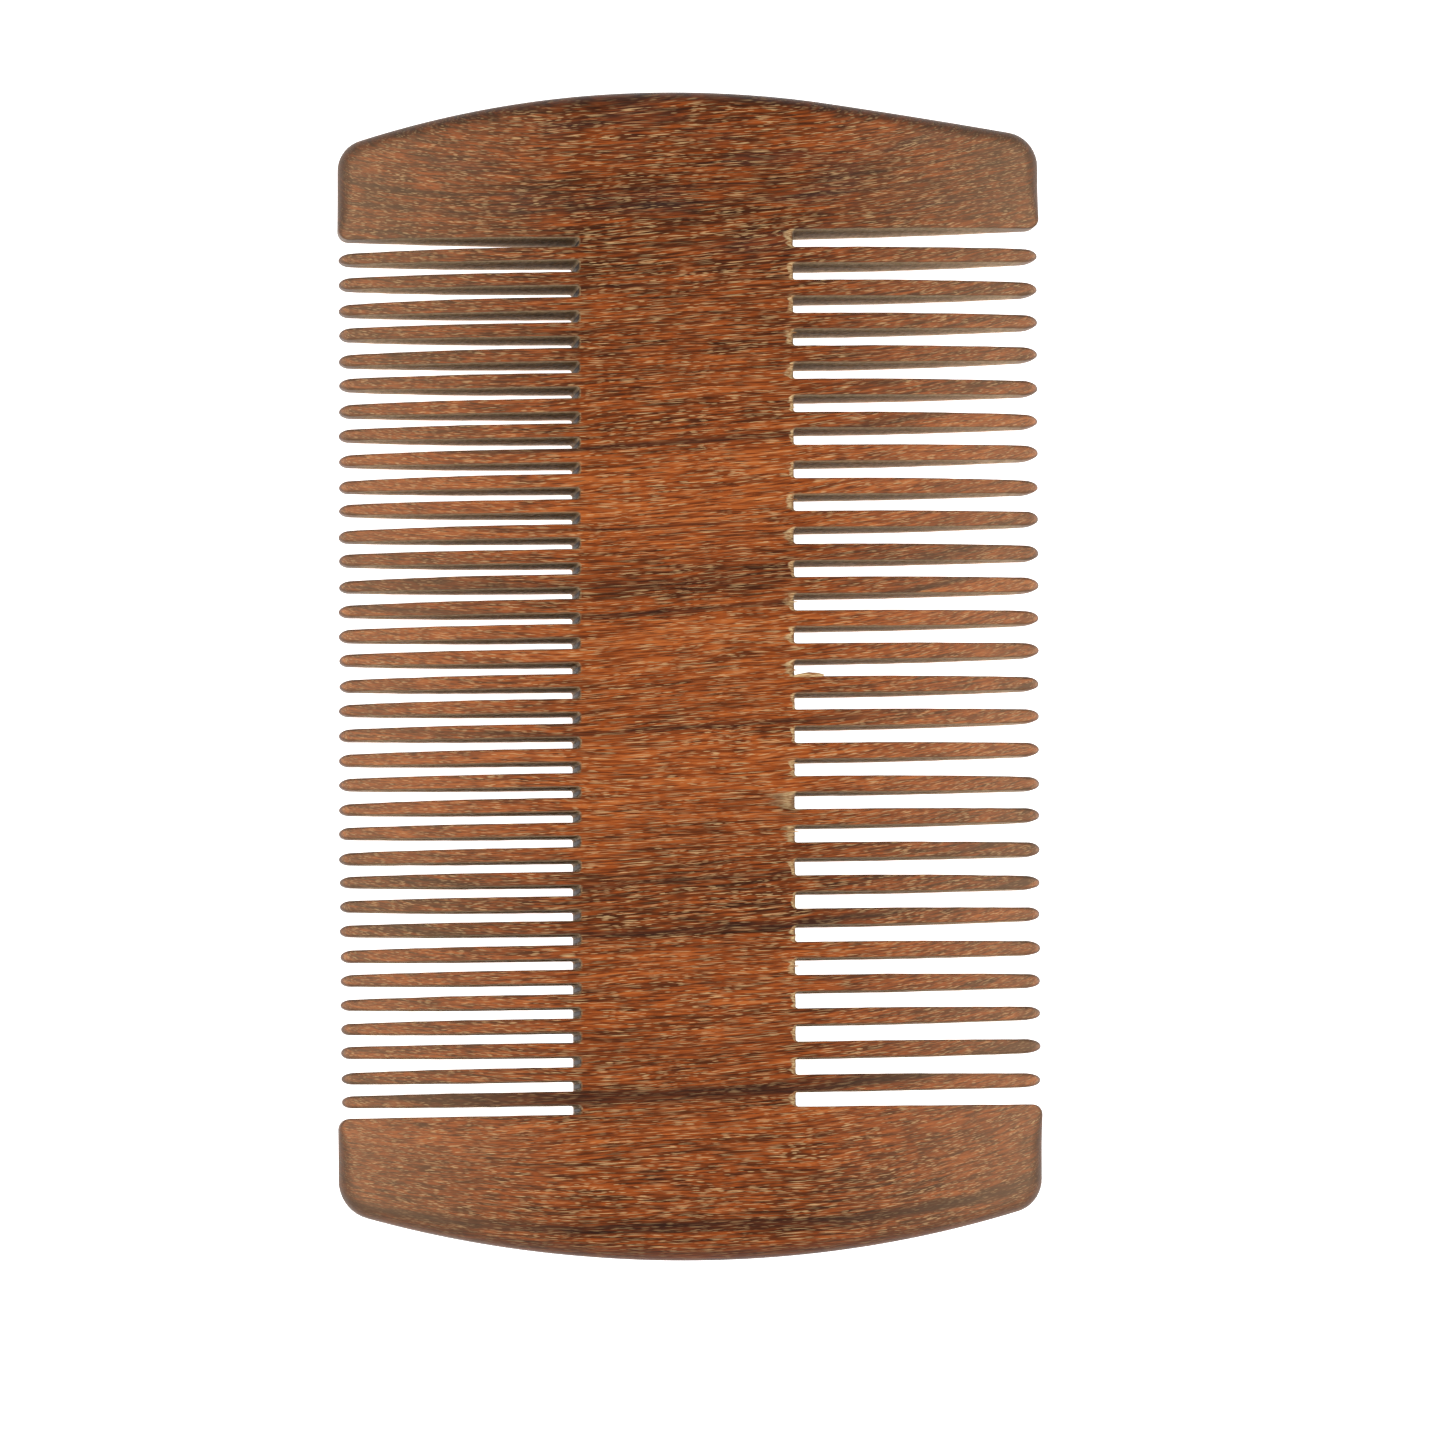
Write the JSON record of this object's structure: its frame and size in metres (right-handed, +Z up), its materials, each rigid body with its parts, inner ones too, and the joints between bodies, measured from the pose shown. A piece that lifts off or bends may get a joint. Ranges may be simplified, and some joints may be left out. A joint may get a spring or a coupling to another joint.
{
  "type": "beard comb",
  "caption": "Flat double-sided wooden beard comb: a row of fine teeth on one side, coarse teeth on the other, a plain spine between them and a bowed guard at each end.",
  "frame": {"origin": "middle of the flat back face that the comb lies on", "axes": "+Z up through the comb's thickness, +Y along the comb towards its head end, +X across it towards the coarse teeth"},
  "size_m": [0.058, 0.096, 0.0095],
  "materials": {
    "wood": "fine-sanded and oiled reddish brown hardwood, open pored, grain across the comb along the teeth"
  },
  "bodies": {
    "root": {"spine": "wood", "head_guard": "wood", "foot_guard": "wood", "fine_teeth": "wood", "coarse_teeth": "wood"}
  },
  "joints": []
}
